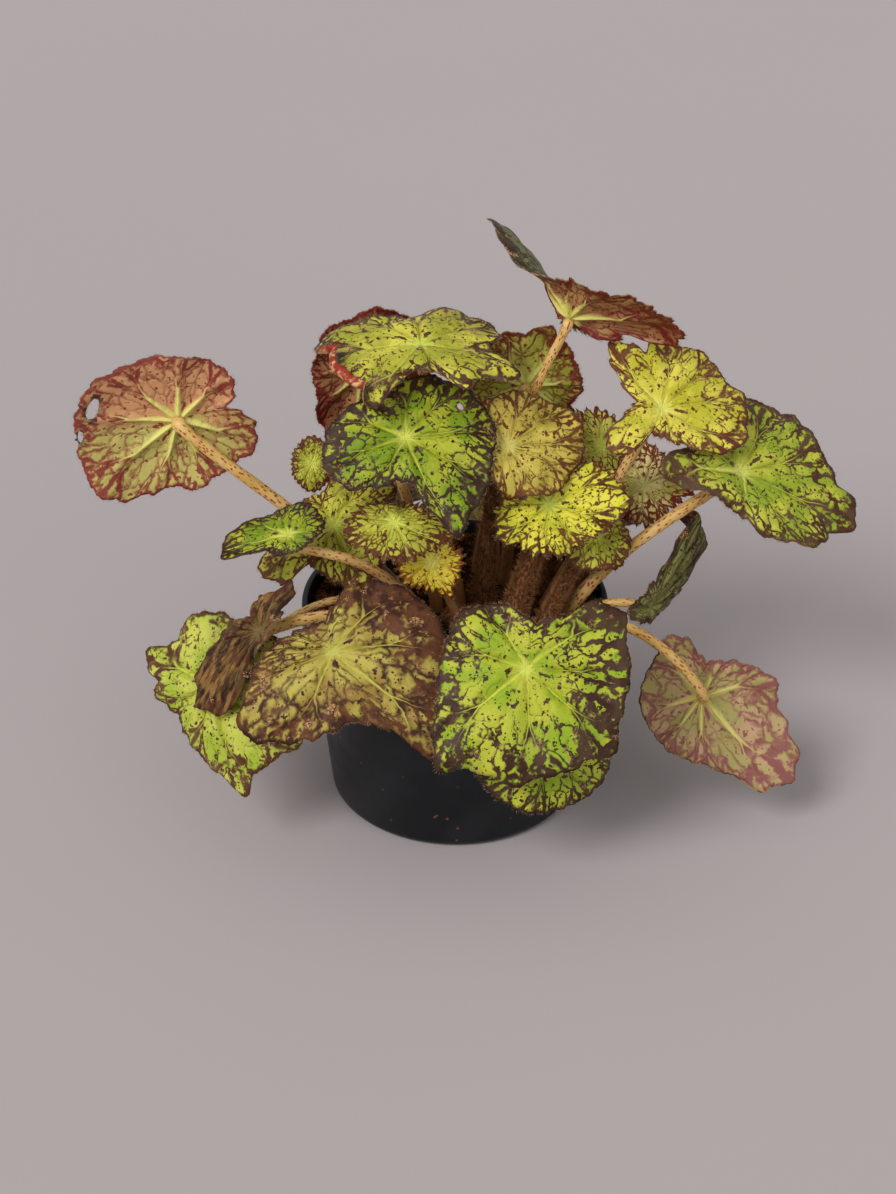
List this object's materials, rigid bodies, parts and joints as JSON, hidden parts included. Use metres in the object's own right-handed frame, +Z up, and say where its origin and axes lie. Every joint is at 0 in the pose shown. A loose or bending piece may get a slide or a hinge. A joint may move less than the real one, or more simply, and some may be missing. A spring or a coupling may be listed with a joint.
{
  "type": "potted rex begonia",
  "caption": "Bushy potted houseplant with lobed, toothed, red-mottled leaves on hairy stalks, standing in a round nursery pot.",
  "frame": {"origin": "centre of the pot's foot, on the surface that it stands on", "axes": "+Z up; -Y is the plant's front, as pictured; +X is right as seen from the front"},
  "size_m": [0.3048, 0.1894, 0.2197],
  "materials": {
    "pot": "satin",
    "soil": "matte",
    "rhizome": "matte",
    "leaf": "satin",
    "petiole": "satin"
  },
  "bodies": {
    "root": {"blade_edge_right": "leaf", "blade_far_left": "leaf", "blade_far_right": "leaf", "blade_front_left": "leaf", "blade_front_right": "leaf", "blade_front_right_lower": "leaf", "blade_left_inner": "leaf", "blade_left_large": "leaf", "blade_left_shelf": "leaf", "blade_left_small": "leaf", "blade_low_left": "leaf", "blade_low_right": "leaf", "blade_middle_rear": "leaf", "blade_middle_right": "leaf", "blade_new_yellow": "leaf", "blade_rear_left": "leaf", "blade_rear_low": "leaf", "blade_rear_right": "leaf", "blade_right_inner": "leaf", "blade_right_shelf": "leaf", "blade_summit": "leaf", "blade_top_left": "leaf", "blade_top_left_rear": "leaf", "blade_top_rear": "leaf", "blade_under_middle_right": "leaf", "blade_upper_middle": "leaf", "blade_upper_right": "leaf", "blade_withered": "leaf", "petiole_edge_right": "petiole", "petiole_far_left": "petiole", "petiole_far_right": "petiole", "petiole_front_left": "petiole", "petiole_front_right": "petiole", "petiole_front_right_lower": "petiole", "petiole_left_inner": "petiole", "petiole_left_large": "petiole", "petiole_left_shelf": "petiole", "petiole_left_small": "petiole", "petiole_low_left": "petiole", "petiole_low_right": "petiole", "petiole_middle_rear": "petiole", "petiole_middle_right": "petiole", "petiole_new_yellow": "petiole", "petiole_rear_left": "petiole", "petiole_rear_low": "petiole", "petiole_rear_right": "petiole", "petiole_right_inner": "petiole", "petiole_right_shelf": "petiole", "petiole_summit": "petiole", "petiole_top_left": "petiole", "petiole_top_left_rear": "petiole", "petiole_top_rear": "petiole", "petiole_under_middle_right": "petiole", "petiole_upper_middle": "petiole", "petiole_upper_right": "petiole", "petiole_withered": "petiole", "pot": "pot", "rhizome": "rhizome", "soil": "soil"}
  },
  "joints": []
}
